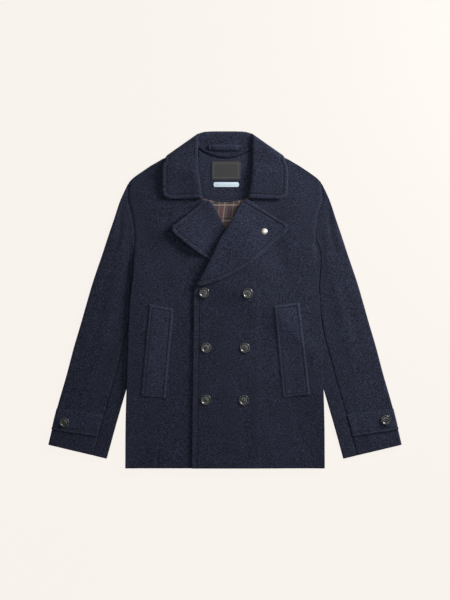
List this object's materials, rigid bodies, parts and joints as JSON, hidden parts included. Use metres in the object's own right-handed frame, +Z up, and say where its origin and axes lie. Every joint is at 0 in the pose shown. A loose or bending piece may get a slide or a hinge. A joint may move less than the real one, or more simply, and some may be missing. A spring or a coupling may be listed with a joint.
{
  "type": "pea coat",
  "caption": "Double-breasted wool pea coat with a wide collar, notched lapels, welt pockets and cuff tabs, laid flat with its front up.",
  "frame": {"origin": "on the surface the coat lies on, under the middle of its outline", "axes": "+X to the wearer's left across the spread sleeves, +Y from hem to collar, +Z up out of the front"},
  "size_m": [0.8674, 0.8269, 0.023],
  "materials": {
    "wool": "heavy felted navy wool with a short, slightly lighter nap",
    "lining": "smooth brown lining with a pale and rust check",
    "label": "woven charcoal satin, blank",
    "tag": "woven pale blue tape, blank",
    "buttons": "polished dark mottled four-hole button",
    "stud": "polished pale brass"
  },
  "bodies": {
    "root": {"back": "wool", "collar": "wool", "neck_facing": "wool", "back_lining": "lining", "front_left": "wool", "front_right": "wool", "lapel_left": "wool", "lapel_right": "wool", "top_sleeve_left": "wool", "top_sleeve_right": "wool", "under_sleeve_left": "wool", "under_sleeve_right": "wool", "cuff_tab_left": "wool", "cuff_tab_right": "wool", "pocket_welt_left": "wool", "pocket_welt_right": "wool", "hanger_loop": "wool", "woven_label": "label", "size_tag": "tag", "button_1": "buttons", "button_2": "buttons", "button_3": "buttons", "button_4": "buttons", "button_5": "buttons", "button_6": "buttons", "cuff_button_left": "buttons", "cuff_button_right": "buttons", "lapel_stud": "stud"}
  },
  "joints": []
}
